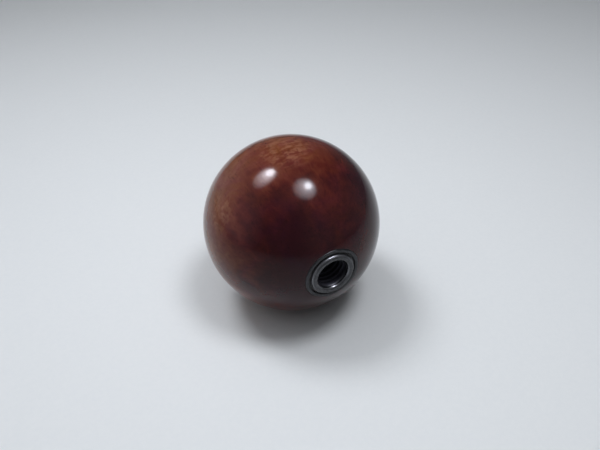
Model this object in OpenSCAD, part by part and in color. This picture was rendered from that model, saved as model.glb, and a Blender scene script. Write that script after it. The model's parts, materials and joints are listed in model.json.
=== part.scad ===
// Ball knob: a turned, lacquered hardwood ball with a threaded steel bush bonded into it.
// The bore lies along Y and its mouth faces -Y. The origin is on the bore's axis, where the
// thread starts, just inside the lip. +Z is up.
// Every module is drawn on a local axis that leaves the mouth along +Z, with the lip face
// at z = 0, and knob_axis() puts it in place.

/* [Ball] */
// Diameter of the finished ball
ball_d = 50; // [48:1:60]
// How far the lip face lies inside the ball's full outline
lip_drop = 0.3; // [0.2:0.1:0.5]

/* [Thread] */
// Major diameter of the internal thread
thread_d = 10; // [8:0.5:10]
// Pitch of the thread
thread_pitch = 1.5; // [1.25:0.25:1.5]
// Number of thread grooves
thread_turns = 13; // [8:1:13]

/* [Bush] */
// Length of the bush, from its lip face to its inner end
bush_len = 25; // [24:0.5:27]
// Diameter of the shank, over the knurl
shank_d = 12; // [11.8:0.1:12.1]
// Outer diameter of the lip
lip_d = 12.4; // [12.2:0.1:12.6]
// Height of the lip
lip_h = 2.2; // [1.8:0.1:2.6]
// Radius on both shoulders of the lip
lip_round = 0.8; // [0.4:0.05:0.8]
// Number of straight knurl grooves along the shank
knurl_count = 36; // [24:4:40]
// Depth of a knurl groove
knurl_depth = 0.25; // [0.1:0.05:0.3]

/* [Trim ring] */
// Outer diameter of the ring's flange
ring_d = 15.4; // [15.2:0.1:16]
// Inner diameter of the ring
ring_bore_d = 13.4; // [13.2:0.1:14]
// How far the ring's face lies below the lip face
ring_drop = 0.7; // [0.6:0.05:0.8]
// Height of the flange
flange_h = 1.2; // [1:0.1:1.5]
// Length of the skirt below the flange
skirt_len = 4.5; // [3:0.5:6]
// Wall thickness of the skirt
skirt_wall = 0.45; // [0.3:0.05:0.6]

/* [Bond and plug] */
// Radial thickness of the adhesive round the shank
bond_gap = 0.5; // [0.3:0.05:0.6]
// Thickness of the adhesive under the bush
bond_floor = 1.5; // [1:0.1:3]
// Depth of the adhesive's face below the lip face
bond_drop = 1.1; // [1:0.1:1.7]
// Thickness of the end plug
plug_h = 1.5; // [1:0.1:2]

/* [Hidden] */
$fn = 96;
eps = 0.01;

ball_r = ball_d / 2;
ball_z = lip_drop - ball_r;              // height of the ball's centre
thread_r = thread_d / 2;                 // thread root
bore_r = (thread_d - thread_pitch) / 2;  // thread crest, the tapping drill's radius
shank_r = shank_d / 2;
lip_r = lip_d / 2;
mouth_r = bore_r + 0.15;                 // bore of the lip, just clear of the thread
mouth_depth = lip_round + 0.4;           // depth at which the mouth has narrowed to the thread
thread_start = mouth_depth + 0.6;        // depth of the first groove's edge
plug_r = thread_r + 0.1;
relief_depth = bush_len - plug_h - 1.5;  // depth at which the run-out relief opens
glue_groove_w = 1.5;
glue_groove_depth = 0.5;
flange_r = ring_d / 2;
ring_bore_r = ring_bore_d / 2;
skirt_r = ring_bore_r + skirt_wall;
ring_round = 0.3;                        // radius on both edges of the ring's face
seat_depth = ring_drop + flange_h;       // depth of the flange's seat in the wood
skirt_depth = seat_depth + skirt_len;
socket_r = shank_r + bond_gap;
socket_depth = bush_len + bond_floor;

// Turns the local axis, which leaves the mouth along +Z, onto -Y, with the thread's start at
// the origin.
module knob_axis() rotate([90, 0, 0]) translate([0, 0, mouth_depth]) children();

// A ring's half section between two radii, from a top height down to a bottom height.
module band(r_in, r_out, top, bottom) {
    translate([r_in, bottom]) square([r_out - r_in, top - bottom]);
}

// The same section with both top edges rounded.
module round_band(r_in, r_out, top, bottom, edge) {
    band(r_in + edge, r_out - edge, top, bottom);
    band(r_in, r_out, top - edge, bottom);
    for (r = [r_in + edge, r_out - edge]) translate([r, top - edge]) circle(edge);
}

// One V groove of the thread, with 60 degrees between its flanks.
module thread_groove(depth_at_middle) {
    half_w = (thread_r - bore_r) * tan(30);
    translate([bore_r, -depth_at_middle])
        polygon([[-eps, half_w], [0, half_w], [thread_r - bore_r, 0], [0, -half_w], [-eps, -half_w]]);
}

// Half section of the bush before it is knurled.
module bush_section() {
    difference() {
        union() {
            round_band(mouth_r, lip_r, 0, -lip_h, lip_round);
            polygon([[mouth_r + eps, -lip_round], [mouth_r, -lip_round], [bore_r, -mouth_depth],
                     [bore_r, -mouth_depth - eps], [mouth_r + eps, -mouth_depth - eps]]);
            band(bore_r, shank_r, -mouth_depth, -bush_len);
        }
        for (i = [0 : thread_turns - 1]) thread_groove(thread_start + (i + 0.5) * thread_pitch);
        band(bore_r - eps, plug_r, -relief_depth, -bush_len - eps);
        for (part = [0.45, 0.75])
            band(shank_r - glue_groove_depth, shank_r + eps,
                 -bush_len * part + glue_groove_w / 2, -bush_len * part - glue_groove_w / 2);
    }
}

// The bush's solid on the local axis, shared by the bush and by what is cast round it.
module bush_solid() {
    knurl_len = bush_len - skirt_depth - 1;
    difference() {
        rotate_extrude() bush_section();
        for (i = [0 : knurl_count - 1])
            rotate([0, 0, i * 360 / knurl_count])
                translate([shank_r, 0, -bush_len + 0.5 + knurl_len / 2])
                    rotate([0, 0, 45])
                        cube([knurl_depth * sqrt(2), knurl_depth * sqrt(2), knurl_len], center = true);
    }
}

// Turned hardwood ball with a stepped, flat-bottomed socket.
module ball() {
    color([0.29, 0.09, 0.06]) knob_axis() difference() {
        translate([0, 0, ball_z]) sphere(ball_r);
        translate([0, 0, -seat_depth]) cylinder(r = flange_r, h = ball_r);
        translate([0, 0, -skirt_depth]) cylinder(r = skirt_r, h = ball_r);
        translate([0, 0, -socket_depth]) cylinder(r = socket_r, h = ball_r);
    }
}

// Steel bush: rounded lip, tapped bore with a run-out relief, and a knurled shank.
// Closed V grooves at the thread's pitch stand for the helix.
module threaded_bush() {
    color([0.2, 0.2, 0.21]) knob_axis() bush_solid();
}

// Pressed steel ring: a flange level with the wood, and a skirt that grips the socket.
module trim_ring() {
    color([0.14, 0.14, 0.15]) knob_axis() rotate_extrude() {
        round_band(ring_bore_r, flange_r, -ring_drop, -seat_depth, ring_round);
        band(ring_bore_r, skirt_r, -seat_depth, -skirt_depth);
    }
}

// Cured adhesive: it fills the socket round the shank and under the bush, keys into the
// knurl and the two glue grooves, and shows as the floor of the groove outside the lip.
module bond_sleeve() {
    color([0.05, 0.05, 0.05]) knob_axis() difference() {
        rotate_extrude() {
            band(0, ring_bore_r, -bond_drop, -skirt_depth);
            band(0, socket_r, -skirt_depth, -socket_depth);
        }
        bush_solid();
        translate([0, 0, -bush_len]) cylinder(r = shank_r - 2 * knurl_depth, h = bush_len);
    }
}

// Plastic disc that closes the inner end of the bush, with a raised stop boss.
module end_plug() {
    color([0.09, 0.09, 0.1]) knob_axis() rotate_extrude() {
        band(0, plug_r, -bush_len + plug_h, -bush_len);
        band(0, plug_r / 2, -bush_len + plug_h + 0.5, -bush_len + plug_h);
    }
}

ball();
threaded_bush();
trim_ring();
bond_sleeve();
end_plug();
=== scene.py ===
"""A lacquered hardwood ball knob with a bonded steel bush, on a pale floor under soft lamps.

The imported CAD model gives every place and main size. Each piece is then drawn again as a fine
mesh of its own: turned profiles with their true edges, a helical thread and a knurled shank.
"""

import json
import math

import bmesh
import bpy
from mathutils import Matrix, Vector


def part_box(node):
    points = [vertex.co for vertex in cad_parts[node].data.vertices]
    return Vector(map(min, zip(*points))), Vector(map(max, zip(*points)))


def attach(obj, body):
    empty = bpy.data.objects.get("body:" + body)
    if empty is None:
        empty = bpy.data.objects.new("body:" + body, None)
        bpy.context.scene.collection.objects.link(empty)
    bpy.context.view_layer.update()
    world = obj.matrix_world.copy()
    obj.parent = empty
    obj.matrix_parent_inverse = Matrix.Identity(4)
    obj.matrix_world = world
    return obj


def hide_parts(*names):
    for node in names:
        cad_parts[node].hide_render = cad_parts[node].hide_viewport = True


MM = 0.001
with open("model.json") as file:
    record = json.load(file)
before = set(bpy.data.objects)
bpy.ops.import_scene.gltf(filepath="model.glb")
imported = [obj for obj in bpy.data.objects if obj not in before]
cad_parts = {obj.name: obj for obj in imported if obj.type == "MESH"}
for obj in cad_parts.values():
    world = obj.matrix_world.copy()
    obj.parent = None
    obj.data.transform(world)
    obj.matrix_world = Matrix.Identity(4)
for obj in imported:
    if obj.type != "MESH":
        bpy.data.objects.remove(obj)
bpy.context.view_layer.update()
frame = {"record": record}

# ---------------------------------------------------------------- sizes, from the frame
# The knob is turned about the Y axis. Its mouth faces -Y. Profiles are lists of (radius, y).
ball_low, ball_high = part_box("ball")
bush_low, bush_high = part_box("threaded_bush")
ring_low, ring_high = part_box("trim_ring")
bond_low, bond_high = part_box("bond_sleeve")
plug_low, plug_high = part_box("end_plug")
thread = next(m for m in frame["record"]["mounts"] if m["name"] == "thread")

BALL_R = (ball_high.z - ball_low.z) / 2
BALL_Y = ball_high.y - BALL_R
FLOOR_Z = ball_low.z
LIP_Y = bush_low.y
BUSH_END = bush_high.y
LIP_R = bush_high.x
RING_Y = ring_low.y
SKIRT_END = ring_high.y
FLANGE_R = ring_high.x
BOND_Y = bond_low.y
BOND_END = bond_high.y
RING_BORE_R = bond_high.x
PLUG_R = plug_high.x
THREAD_END = thread["dims"]["length_mm"] * MM
CREST_R = thread["dims"]["r_mm"] * MM

# Sizes that only the details need, as in the CAD model.
PITCH = 1.5 * MM
ROOT_R = CREST_R + PITCH / 2
MOUTH_R = CREST_R + 0.15 * MM
LIP_ROUND = 0.8 * MM
LIP_H = 2.2 * MM
SHANK_R = 6.0 * MM
SOCKET_R = 6.5 * MM
SKIRT_R = RING_BORE_R + 0.45 * MM
SEAT_Y = RING_Y + 1.2 * MM
RING_ROUND = 0.3 * MM
PLUG_H = 1.5 * MM
KNURLS = 36
KNURL_DEPTH = 0.25 * MM
KNURL_INSET = 0.5 * MM  # from the bush's inner end to the knurl
GLUE_GROOVES = (0.45, 0.75)
GLUE_GROOVE_W = 1.5 * MM
GLUE_GROOVE_DEPTH = 0.5 * MM

# Sizes that differ from the CAD model, inside its solids.
BOND_SAG = 0.2 * MM
KNURL_GAP = 1.5 * MM  # from the skirt's end to the knurl

# How fine the meshes are: columns go round the axis, and rows along the profile.
FINE_COLUMNS = 256
BOND_COLUMNS = 192
PLUG_COLUMNS = 128
COLUMNS_PER_KNURL = 8
BALL_ROWS = 150
LIP_ROWS = 14
THREAD_ROWS_PER_PITCH = 14
KNURL_ROWS = 60
RING_EDGE_ROWS = 10
BOSS_EDGE_ROWS = 6
SAG_ROWS = 12


# ---------------------------------------------------------------- mesh tools
def arc(r, y, radius, start, end, steps):
    """Points of an arc in the profile plane. 0 degrees points away from the axis, 90 points to -Y."""
    points = []
    for i in range(steps + 1):
        a = math.radians(start + (end - start) * i / steps)
        points.append((r + radius * math.cos(a), y - radius * math.sin(a)))
    return points


def straight(start, end, steps):
    """Points from start up to, but not including, end."""
    return [
        (start[0] + (end[0] - start[0]) * i / steps, start[1] + (end[1] - start[1]) * i / steps)
        for i in range(steps)
    ]


def turned(name, profile, columns, radius=None, sharp=40):
    """A closed solid turned about the Y axis.

    The profile is a closed loop, or it starts and ends on the axis. radius(i, angle, r) may
    move row i in or out at that angle, which cuts threads and knurls.
    """
    on_axis = profile[0][0] < 1e-9
    rows = profile[1:-1] if on_axis else profile
    vertices = []
    for i, (r, y) in enumerate(rows):
        for c in range(columns):
            a = 2 * math.pi * c / columns
            rr = radius(i, a, r) if radius else r
            vertices.append((rr * math.sin(a), y, rr * math.cos(a)))
    faces = []
    last = len(rows) if not on_axis else len(rows) - 1
    for i in range(last):
        j = (i + 1) % len(rows)
        for c in range(columns):
            d = (c + 1) % columns
            faces.append((i * columns + c, i * columns + d, j * columns + d, j * columns + c))
    if on_axis:
        first_pole = len(vertices)
        vertices += [(0, profile[0][1], 0), (0, profile[-1][1], 0)]
        end_row = (len(rows) - 1) * columns
        for c in range(columns):
            d = (c + 1) % columns
            faces.append((first_pole, d, c))
            faces.append((first_pole + 1, end_row + c, end_row + d))
    mesh = bpy.data.meshes.new(name)
    mesh.from_pydata(vertices, [], faces)
    mesh.update()
    piece = bpy.data.objects.new(name, mesh)
    bpy.context.scene.collection.objects.link(piece)
    outward(mesh)
    mesh.shade_smooth()
    mesh.set_sharp_from_angle(angle=math.radians(sharp))
    return piece


def outward(mesh):
    """Turns every face of a closed mesh to face out."""
    work = bmesh.new()
    work.from_mesh(mesh)
    bmesh.ops.recalc_face_normals(work, faces=work.faces)
    work.to_mesh(mesh)
    work.free()


# ---------------------------------------------------------------- pieces
def make_ball():
    """The turned ball: sphere, eased rim, and the stepped flat-bottomed socket."""
    edge = 0.12 * MM
    pole_gap = 0.8
    rim_angle = math.degrees(math.acos((FLANGE_R + edge) / BALL_R))
    profile = [(0, ball_high.y)]
    profile += arc(0, BALL_Y, BALL_R, pole_gap - 90, rim_angle, BALL_ROWS)
    rim_y = profile[-1][1]
    profile += [
        (FLANGE_R + edge * 0.45, rim_y - edge * 0.08),
        (FLANGE_R + edge * 0.12, rim_y + edge * 0.30),
        (FLANGE_R, rim_y + edge),
    ]
    profile += [
        (FLANGE_R, SEAT_Y), (SKIRT_R, SEAT_Y), (SKIRT_R, SKIRT_END),
        (SOCKET_R, SKIRT_END), (SOCKET_R, BOND_END), (0, BOND_END),
    ]
    return turned("wood_ball", profile, FINE_COLUMNS)


def make_bush():
    """The steel bush: rounded lip, helical thread with a run-out relief, and knurled shank."""
    kinds = []
    profile = []

    def add(points, kind):
        profile.extend(points)
        kinds.extend([kind] * len(points))

    inner_land = MOUTH_R + LIP_ROUND
    add(arc(inner_land, LIP_Y + LIP_ROUND, LIP_ROUND, 90, 180, LIP_ROWS), "plain")
    add([(CREST_R, 0)], "plain")
    lead_in = 0.05 * MM
    thread_rows = round(THREAD_END / PITCH * THREAD_ROWS_PER_PITCH)
    add(straight((CREST_R, lead_in), (CREST_R, THREAD_END), thread_rows), "thread")
    add([(CREST_R, THREAD_END), (PLUG_R, THREAD_END), (PLUG_R, BUSH_END)], "plain")
    bevel = 0.3 * MM
    add([(SHANK_R - bevel, BUSH_END), (SHANK_R, BUSH_END - bevel)], "plain")
    knurl_start = BUSH_END - KNURL_INSET
    knurl_end = SKIRT_END + KNURL_GAP
    add(straight((SHANK_R, knurl_start), (SHANK_R, knurl_end), KNURL_ROWS), "knurl")
    neck_y = LIP_Y + LIP_H
    add([(SHANK_R, knurl_end), (SHANK_R, neck_y), (LIP_R, neck_y)], "plain")
    add(arc(LIP_R - LIP_ROUND, LIP_Y + LIP_ROUND, LIP_ROUND, 0, 90, LIP_ROWS), "plain")

    length = BUSH_END - LIP_Y
    run_out = PITCH * 0.8
    flank = 0.5 * math.tan(math.radians(30))
    root_flat = 1.12
    knurl_half = KNURL_DEPTH / (2 * math.pi * SHANK_R / KNURLS)

    def radius(i, angle, r):
        """The helix deepens from both ends over its run-out, and its root is cut a little flat."""
        y = profile[i][1]
        if kinds[i] == "thread":
            phase = (y / PITCH - angle / (2 * math.pi)) % 1.0
            depth = max(0.0, 1.0 - abs(phase - 0.5) / flank)
            depth = min(1.0, depth * root_flat)
            ends = min(1.0, y / run_out, (THREAD_END - y) / run_out)
            return r + (ROOT_R - CREST_R) * depth * max(0.0, ends)
        if kinds[i] == "knurl":
            for part in GLUE_GROOVES:
                if abs(y - LIP_Y - length * part) < GLUE_GROOVE_W / 2:
                    return r - GLUE_GROOVE_DEPTH
            turn = (angle / (2 * math.pi) * KNURLS) % 1.0
            off = min(turn, 1.0 - turn)
            return r - KNURL_DEPTH * max(0.0, 1.0 - off / knurl_half)
        return r

    return turned("steel_bush", profile, KNURLS * COLUMNS_PER_KNURL, radius, sharp=32)


def make_ring():
    """The trim ring: a flange with rounded edges, and the skirt that grips the socket."""
    inner = RING_BORE_R + RING_ROUND
    outer = FLANGE_R - RING_ROUND
    profile = arc(outer, RING_Y + RING_ROUND, RING_ROUND, 90, 0, RING_EDGE_ROWS)
    profile += [
        (FLANGE_R, SEAT_Y), (SKIRT_R, SEAT_Y), (SKIRT_R, SKIRT_END), (RING_BORE_R, SKIRT_END),
    ]
    profile += arc(inner, RING_Y + RING_ROUND, RING_ROUND, 180, 90, RING_EDGE_ROWS)
    return turned("steel_ring", profile, FINE_COLUMNS)


def make_bond():
    """The cured adhesive: its face sags between the lip and the ring, and it fills the socket.

    Its inside is a plain cylinder round the shank, without the keys of the CAD model.
    """
    middle = (LIP_R + RING_BORE_R) / 2
    half = (RING_BORE_R - LIP_R) / 2
    profile = [
        (0, BUSH_END), (SHANK_R, BUSH_END), (SHANK_R, LIP_Y + LIP_H), (LIP_R, LIP_Y + LIP_H),
    ]
    for i in range(SAG_ROWS + 1):
        across = -1 + 2 * i / SAG_ROWS
        profile.append((middle + half * across, BOND_Y + BOND_SAG * (1 - across * across)))
    profile += [
        (RING_BORE_R, SKIRT_END), (SOCKET_R, SKIRT_END), (SOCKET_R, BOND_END), (0, BOND_END),
    ]
    return turned("adhesive_bond", profile, BOND_COLUMNS)


def make_plug():
    """The disc that closes the bush, with a bevelled edge and a raised stop boss."""
    bevel = 0.2 * MM
    boss_r = PLUG_R / 2
    face_y = BUSH_END - PLUG_H
    profile = [(0, plug_low.y)]
    profile += arc(boss_r - bevel, plug_low.y + bevel, bevel, 90, 0, BOSS_EDGE_ROWS)
    profile += [
        (boss_r, face_y), (PLUG_R - bevel, face_y), (PLUG_R, face_y + bevel), (PLUG_R, BUSH_END),
        (0, BUSH_END),
    ]
    return turned("stop_plug", profile, PLUG_COLUMNS)


# ---------------------------------------------------------------- materials
class Nodes:
    """Short calls for building one material's node tree."""

    def __init__(self, name):
        self.material = bpy.data.materials.new(name)
        self.material.use_nodes = True
        self.tree = self.material.node_tree
        self.tree.nodes.clear()
        self.shader = self.add("ShaderNodeBsdfPrincipled")
        self.output = self.add("ShaderNodeOutputMaterial")
        self.link(self.shader.outputs[0], self.output.inputs["Surface"])
        self.place = self.add("ShaderNodeTexCoord").outputs["Object"]

    def add(self, kind, **settings):
        node = self.tree.nodes.new(kind)
        for key, value in settings.items():
            setattr(node, key, value)
        return node

    def link(self, a, b):
        self.tree.links.new(a, b)

    def put(self, socket, value):
        """Sets a socket to a number or colour, or links it to another socket."""
        if isinstance(value, bpy.types.NodeSocket):
            self.link(value, socket)
        elif isinstance(value, tuple) and len(value) == 3 and socket.type == "RGBA":
            socket.default_value = (*value, 1.0)
        else:
            socket.default_value = value

    def stretch(self, scale, turn=(0, 0, 0)):
        """The object's own coordinates, turned and stretched. Scale 1000 counts in mm."""
        node = self.add("ShaderNodeMapping")
        node.inputs["Rotation"].default_value = turn
        node.inputs["Scale"].default_value = scale
        self.link(self.place, node.inputs["Vector"])
        return node.outputs[0]

    def noise(self, vector, scale=1.0, detail=4.0, rough=0.55, twist=0.0):
        node = self.add("ShaderNodeTexNoise")
        self.put(node.inputs["Vector"], vector)
        node.inputs["Scale"].default_value = scale
        node.inputs["Detail"].default_value = detail
        node.inputs["Roughness"].default_value = rough
        node.inputs["Distortion"].default_value = twist
        return node.outputs["Fac"]

    def math(self, operation, a, b=0.0, c=0.0):
        node = self.add("ShaderNodeMath", operation=operation)
        for socket, value in zip(node.inputs, (a, b, c)):
            self.put(socket, value)
        return node.outputs[0]

    def towards(self, vector, direction, scale=1.0):
        """How far a vector reaches in one direction."""
        node = self.add("ShaderNodeVectorMath", operation="DOT_PRODUCT")
        self.put(node.inputs[0], vector)
        node.inputs[1].default_value = tuple(Vector(direction).normalized() * scale)
        return node.outputs["Value"]

    def ramp(self, fac, stops):
        """Colours or greys by position: stops is a list of (position, colour or grey)."""
        node = self.add("ShaderNodeValToRGB")
        elements = node.color_ramp.elements
        while len(elements) < len(stops):
            elements.new(0.5)
        for element, (position, value) in zip(elements, stops):
            element.position = position
            grey = isinstance(value, (int, float))
            element.color = (value, value, value, 1) if grey else (*value, 1)
        self.put(node.inputs["Fac"], fac)
        return node.outputs["Color"]

    def mix(self, fac, a, b, blend="MIX"):
        node = self.add("ShaderNodeMix", data_type="RGBA", blend_type=blend)
        self.put(node.inputs["Factor"], fac)
        self.put(node.inputs["A"], a)
        self.put(node.inputs["B"], b)
        return node.outputs["Result"]

    def bump(self, height, strength, distance):
        node = self.add("ShaderNodeBump")
        node.inputs["Strength"].default_value = strength
        node.inputs["Distance"].default_value = distance
        self.put(node.inputs["Height"], height)
        return node.outputs[0]

    def set(self, **values):
        """Sets the shader's own sockets by name, with _ for a space."""
        for key, value in values.items():
            self.put(self.shader.inputs[key.replace("_", " ")], value)


def swing(m, noise, amount):
    """Noise as a change that goes up and down by half the amount."""
    return m.math("MULTIPLY_ADD", noise, amount, -amount / 2)


def wood_material():
    """Dark red-brown hardwood under thick gloss lacquer, paler towards its back and left: partly its
    own tone, partly painted light.
    """
    m = Nodes("lacquered_wood")
    mm = m.stretch((1000, 1000, 1000))
    centred = m.add("ShaderNodeVectorMath", operation="SUBTRACT")
    m.put(centred.inputs[0], m.place)
    centred.inputs[1].default_value = (0, BALL_Y, 0)

    def facing(direction):
        """1 where the ball's surface faces a direction, falling to -1 on the far side."""
        return m.towards(centred.outputs[0], direction, 1 / BALL_R)

    # Grain: broad blotches, clouds from purple to orange, fibres that wander across them, short
    # dark pores and pale flecks.
    turn = (0.35, 0.2, 0.6)
    blotch = m.noise(mm, scale=0.17, detail=3.0, rough=0.5, twist=0.5)
    cloud = m.noise(mm, scale=0.13, detail=2.0, rough=0.5, twist=0.8)
    fibre = m.noise(m.stretch((520, 110, 520), turn=turn), detail=5.0, rough=0.6, twist=0.9)
    pore = m.noise(m.stretch((2400, 380, 2400), turn=turn), detail=2.0, rough=0.5)
    fleck = m.noise(m.stretch((420, 760, 760), turn=(0.1, 0.1, 0.3)), detail=2.5, twist=0.4)

    # Tone: pale at the back, and in one patch on top and one beside the mouth: partly own tone,
    # partly painted light and shade.
    back = m.math("MULTIPLY_ADD", facing((-0.36, 0.92, -0.17)), 0.76, 0.665)
    tone_and_painted_light = m.math("MINIMUM", back, 0.815)
    for change in [
        m.ramp(facing((0.06, -0.36, 0.93)), [(0.79, 0.0), (1.0, 0.31)]),
        m.ramp(facing((0.27, -0.89, 0.36)), [(0.80, 0.0), (1.0, 0.46)]),
        swing(m, blotch, 0.50),
        swing(m, fibre, 0.30),
    ]:
        tone_and_painted_light = m.math("ADD", tone_and_painted_light, change)
    colour = m.ramp(tone_and_painted_light, [
        (0.15, (0.0250, 0.0026, 0.0056)),
        (0.28, (0.0305, 0.0036, 0.0056)),
        (0.42, (0.0500, 0.0066, 0.0062)),
        (0.52, (0.0800, 0.0120, 0.0080)),
        (0.62, (0.1080, 0.0215, 0.0120)),
        (0.74, (0.1320, 0.0330, 0.0145)),
        (0.95, (0.1800, 0.0560, 0.0235)),
    ])
    tint = m.ramp(cloud, [
        (0.36, (1.0, 0.94, 1.35)), (0.50, (1.0, 1.0, 1.0)), (0.66, (1.0, 1.08, 0.85)),
    ])
    colour = m.mix(1.0, colour, tint, blend="MULTIPLY")

    # Pale flecks: many on the crown and on one flank, and a few wherever the tone is pale.
    crown = m.ramp(facing((-0.07, 0.0, 1.0)), [(0.945, 0.0), (0.99, 0.70)])
    flank = m.ramp(facing((-0.87, -0.06, 0.49)), [(0.975, 0.0), (0.99, 0.6)])
    elsewhere = m.ramp(tone_and_painted_light, [(0.62, 0.0), (0.90, 0.25)])
    reach = m.math("MAXIMUM", m.math("MAXIMUM", crown, flank), elsewhere)
    pale = m.math("MULTIPLY", m.ramp(fleck, [(0.42, 0.0), (0.66, 1.0)]), reach)
    colour = m.mix(pale, colour, (0.265, 0.112, 0.060))
    colour = m.mix(0.75, colour, m.ramp(pore, [(0.30, 0.62), (0.42, 1.0)]), blend="MULTIPLY")

    ripple = m.noise(mm, scale=0.22, detail=1.0)
    m.set(Base_Color=colour, Roughness=m.ramp(fibre, [(0.3, 0.42), (0.7, 0.58)]))
    m.set(Specular_IOR_Level=0.0, Coat_Weight=1.0, Coat_Roughness=0.115, Coat_IOR=1.30)
    m.set(Normal=m.bump(fibre, 0.08, 0.0002), Coat_Normal=m.bump(ripple, 0.04, 0.0006))
    return m.material


def oxide_steel(name, dark, light, roughness, bore=False):
    """Black-oxide steel with fine turning marks round the bore's axis and light wear.

    With bore set, the steel is the bush's: paler on both shoulders of its lip, partly wear and partly
    a painted highlight, and duller on the thread, whose colour is painted darker and bluish deeper in
    the bore as shade.
    """
    m = Nodes(name)
    mm = m.stretch((1000, 1000, 1000))
    marks = m.noise(m.stretch((350, 9000, 350)), detail=3.0)
    wear = m.noise(mm, scale=1.6, detail=6.0, rough=0.65)
    colour = m.ramp(wear, [(0.35, dark), (0.65, light)])
    low, high = roughness
    rough = m.ramp(wear, [(0.3, low), (0.7, high)])
    if bore:
        place = m.add("ShaderNodeSeparateXYZ")
        m.put(place.inputs[0], mm)
        x, y, z = place.outputs
        radius = m.math("SQRT", m.math("ADD", m.math("MULTIPLY", x, x), m.math("MULTIPLY", z, z)))
        land_r = (MOUTH_R + LIP_R) / 2 / MM
        off_land = m.math("ABSOLUTE", m.math("SUBTRACT", radius, land_r))
        # Painted highlight: both shoulders of the lip are painted paler, partly edge wear and partly
        # a painted highlight.
        wear_and_painted_highlight = m.ramp(off_land, [(0.45, 0.0), (0.85, 0.8)])
        colour = m.mix(wear_and_painted_highlight, colour, (0.20, 0.20, 0.215))
        wall_r = (SHANK_R + ROOT_R) / 2 / MM
        narrow = m.math("LESS_THAN", radius, wall_r)
        # Painted shade: deeper in the bore the thread's colour is painted darker and bluish, and it
        # is made duller there too.
        dull_and_shade_start = -0.55
        below = m.ramp(m.math("SUBTRACT", y, dull_and_shade_start), [(0.0, 0.0), (1.0, 1.0)])
        inside = m.math("MULTIPLY", narrow, below)
        colour = m.mix(inside, colour, (0.055, 0.053, 0.068))
        rough = m.mix(narrow, rough, (0.22, 0.22, 0.22))
        rough = m.mix(inside, rough, (0.70, 0.70, 0.70))
    m.set(Base_Color=colour, Metallic=1.0, Roughness=rough)
    m.set(Normal=m.bump(marks, 0.06, 0.00005))
    return m.material


def adhesive_material():
    """Cured black adhesive: glossy, slightly uneven."""
    m = Nodes("cured_adhesive")
    mm = m.stretch((1000, 1000, 1000))
    lumps = m.noise(mm, scale=1.2, detail=4.0)
    colour = m.ramp(lumps, [(0.3, (0.04, 0.038, 0.04)), (0.7, (0.07, 0.066, 0.068))])
    rough = m.ramp(lumps, [(0.3, 0.25), (0.7, 0.5)])
    m.set(Base_Color=colour, Roughness=rough, Normal=m.bump(lumps, 0.3, 0.0002))
    return m.material


def plug_material():
    """Matt black plastic with a fine moulded grain."""
    m = Nodes("plug_plastic")
    grain = m.noise(m.stretch((1000, 1000, 1000)), scale=6.0, detail=3.0)
    colour = m.ramp(grain, [(0.3, (0.012, 0.012, 0.013)), (0.7, (0.028, 0.028, 0.03))])
    rough = m.ramp(grain, [(0.3, 0.5), (0.7, 0.7)])
    m.set(Base_Color=colour, Roughness=rough, Normal=m.bump(grain, 0.15, 0.0001))
    return m.material


def floor_material():
    """Pale, very slightly blue matt sheet."""
    m = Nodes("pale_floor")
    speck = m.noise(m.place, scale=900.0, detail=2.0)
    sheet = m.ramp(speck, [(0.3, (0.720, 0.775, 0.775)), (0.7, (0.735, 0.788, 0.785))])
    m.set(Base_Color=sheet, Roughness=0.6, Specular_IOR_Level=0.1)
    return m.material


def dress(piece, material, slot, *nodes):
    """Gives a piece its material and its place on the body, and hides the CAD parts that it stands
    for. The slot is not used.
    """
    piece.data.materials.clear()
    piece.data.materials.append(material)
    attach(piece, "root")
    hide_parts(*nodes)


# ---------------------------------------------------------------- stage
def make_floor():
    """A pale flat sheet under the ball."""
    half = 0.5
    corners = [(-half, -half), (half, -half), (half, half), (-half, half)]
    vertices = [(x, y, FLOOR_Z) for x, y in corners]
    mesh = bpy.data.meshes.new("floor")
    mesh.from_pydata(vertices, [], [(0, 1, 2, 3)])
    floor = bpy.data.objects.new("floor", mesh)
    bpy.context.scene.collection.objects.link(floor)
    mesh.materials.append(floor_material())


def make_camera():
    """Looks down on the mouth side of the ball from the left."""
    azimuth = math.radians(-25.7)
    elevation = math.radians(38.2)
    distance = 6.68 * BALL_R
    right_of_ball = 2.4 * MM
    below_centre = 0.8 * MM
    centre = Vector((0, BALL_Y, 0))
    back = Vector((
        math.sin(azimuth) * math.cos(elevation),
        -math.cos(azimuth) * math.cos(elevation),
        math.sin(elevation),
    ))
    right = Vector((math.cos(azimuth), math.sin(azimuth), 0))
    up = back.cross(right)
    aim = centre + right * right_of_ball - up * below_centre
    data = bpy.data.cameras.new("camera")
    data.lens = 35
    data.sensor_width = 36
    data.clip_start = 0.01
    data.clip_end = 20
    camera = bpy.data.objects.new("camera", data)
    camera.location = centre + back * distance
    camera.rotation_mode = "QUATERNION"
    camera.rotation_quaternion = (aim - camera.location).to_track_quat("-Z", "Y")
    bpy.context.scene.collection.objects.link(camera)
    bpy.context.scene.camera = camera


def disk_lamp(name, towards, spread, radiance, colour):
    """A round lamp seen from the ball in one direction, this many degrees wide.

    A narrower beam is brighter along its middle, so the energy is divided by that focus.
    """
    distance = 0.45
    width = 2 * distance * math.tan(math.radians(spread / 2))
    beam = math.radians(115)
    focus = math.tan(beam / 2) / (math.tan(beam / 2) - beam / 2)
    data = bpy.data.lights.new(name, "AREA")
    data.shape = "DISK"
    data.size = width
    data.spread = beam
    data.energy = radiance * math.pi * math.pi * (width / 2) ** 2 / focus
    data.color = colour
    lamp = bpy.data.objects.new(name, data)
    direction = Vector(towards).normalized()
    lamp.location = Vector((0, BALL_Y, 0)) + direction * distance
    lamp.rotation_mode = "QUATERNION"
    lamp.rotation_quaternion = (-direction).to_track_quat("-Z", "Y")
    bpy.context.scene.collection.objects.link(lamp)
    return lamp


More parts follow.
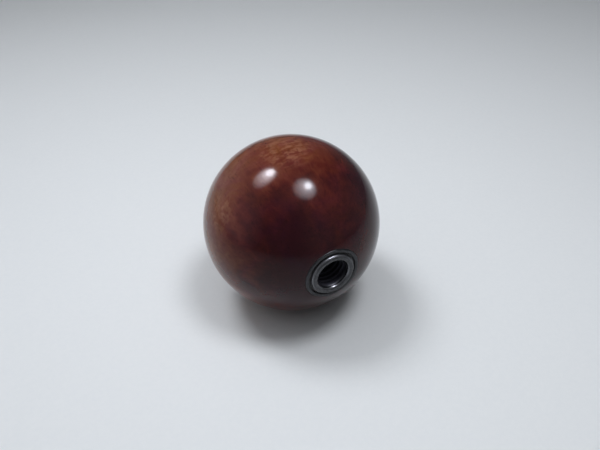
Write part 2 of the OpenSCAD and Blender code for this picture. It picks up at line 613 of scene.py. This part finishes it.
def make_lights():
    """Two reflector lamps, each as one even disc that lights the scene and one set of glints,
    and a wide soft light overhead.

    The glints only show in gloss: a bulb in a bowl that fades away to one side of it. Every
    layer of a bowl is (how far it lies from the bulb to the bowl's far side, its width in
    degrees, its radiance).
    """
    lamp_colour = (0.965, 0.945, 1.0)
    glint_colour = (0.875, 0.905, 1.0)
    for name, towards, width, radiance in [
        ("left_lamp", (-0.252, 0.369, 0.894), 21.0, 13.4),
        ("right_lamp", (0.196, -0.186, 0.963), 19.0, 15.0),
        ("overhead", (-0.20, 0.0, 0.98), 110.0, 0.98),
    ]:
        lamp = disk_lamp(name, towards, width, radiance, lamp_colour)
        lamp.visible_glossy = False
    left_bowl = [(1.0, 19, 2.6), (0.66, 21, 3.5), (0.33, 20, 5.6), (0.15, 14.5, 11), (0.0, 9.5, 33)]
    right_bowl = [(1.0, 27, 3.4), (0.72, 23, 4.7), (0.42, 17, 6.0), (0.12, 11.5, 11), (0.0, 7.5, 38)]
    for name, bulb, far_side, bowl in [
        ("left_glint", (-0.218, 0.376, 0.900), (-0.420, 0.342, 0.839), left_bowl),
        ("right_glint", (0.250, -0.215, 0.944), (0.163, -0.268, 0.950), right_bowl),
    ]:
        for i, (part, width, radiance) in enumerate(bowl):
            towards = Vector(bulb).lerp(Vector(far_side), part)
            glint = disk_lamp(f"{name}_{i}", towards, width, radiance, glint_colour)
            glint.visible_diffuse = False


def make_room():
    """The room as it shows in gloss: even, but lighter overhead, on both sides and in front.

    It lights nothing matt, so that the shadow under the ball stays as deep as it should be.
    """
    world = bpy.data.worlds.new("room")
    world.use_nodes = True
    bpy.context.scene.world = world
    world.cycles_visibility.diffuse = False
    tree = world.node_tree
    towards = tree.nodes.new("ShaderNodeTexCoord").outputs["Generated"]

    def glow(direction, start, end, strength):
        """Light that grows from nothing to its full strength as a direction is neared."""
        dot = tree.nodes.new("ShaderNodeVectorMath")
        dot.operation = "DOT_PRODUCT"
        tree.links.new(towards, dot.inputs[0])
        dot.inputs[1].default_value = Vector(direction).normalized()
        ease = tree.nodes.new("ShaderNodeMapRange")
        ease.interpolation_type = "SMOOTHSTEP"
        tree.links.new(dot.outputs["Value"], ease.inputs["Value"])
        ease.inputs["From Min"].default_value = start
        ease.inputs["From Max"].default_value = end
        ease.inputs["To Min"].default_value = 0.0
        ease.inputs["To Max"].default_value = strength
        return ease.outputs["Result"]

    even = tree.nodes.new("ShaderNodeValue")
    even.outputs[0].default_value = 0.15
    total = even.outputs[0]
    for part in [
        glow((0, 0, 1), 0.70, 0.97, 0.20),
        glow((-0.83, 0.52, 0.21), 0.50, 0.97, 0.64),
        glow((0.66, -0.70, 0.22), 0.40, 0.95, 0.20),
        glow((-0.40, -0.81, 0.42), 0.35, 0.95, 0.08),
    ]:
        add = tree.nodes.new("ShaderNodeMath")
        tree.links.new(total, add.inputs[0])
        tree.links.new(part, add.inputs[1])
        total = add.outputs[0]
    background = tree.nodes["Background"]
    background.inputs["Color"].default_value = (0.93, 0.96, 1.0, 1)
    tree.links.new(total, background.inputs["Strength"])


# ---------------------------------------------------------------- the scene
make_camera()
make_lights()
make_room()
make_floor()

dress(make_ball(), wood_material(), "lacquered_wood", "ball")
satin = (0.3, 0.42)
bush_steel = oxide_steel(
    "bush_steel", (0.042, 0.042, 0.045), (0.085, 0.085, 0.09), satin, bore=True)
dress(make_bush(), bush_steel, "dark_steel", "threaded_bush")
ring_steel = oxide_steel("ring_steel", (0.032, 0.032, 0.034), (0.06, 0.06, 0.064), satin)
dress(make_ring(), ring_steel, "ring_steel", "trim_ring")
dress(make_bond(), adhesive_material(), "adhesive", "bond_sleeve")
dress(make_plug(), plug_material(), "plug_plastic", "end_plug")

bpy.context.scene.view_settings.view_transform = "Standard"
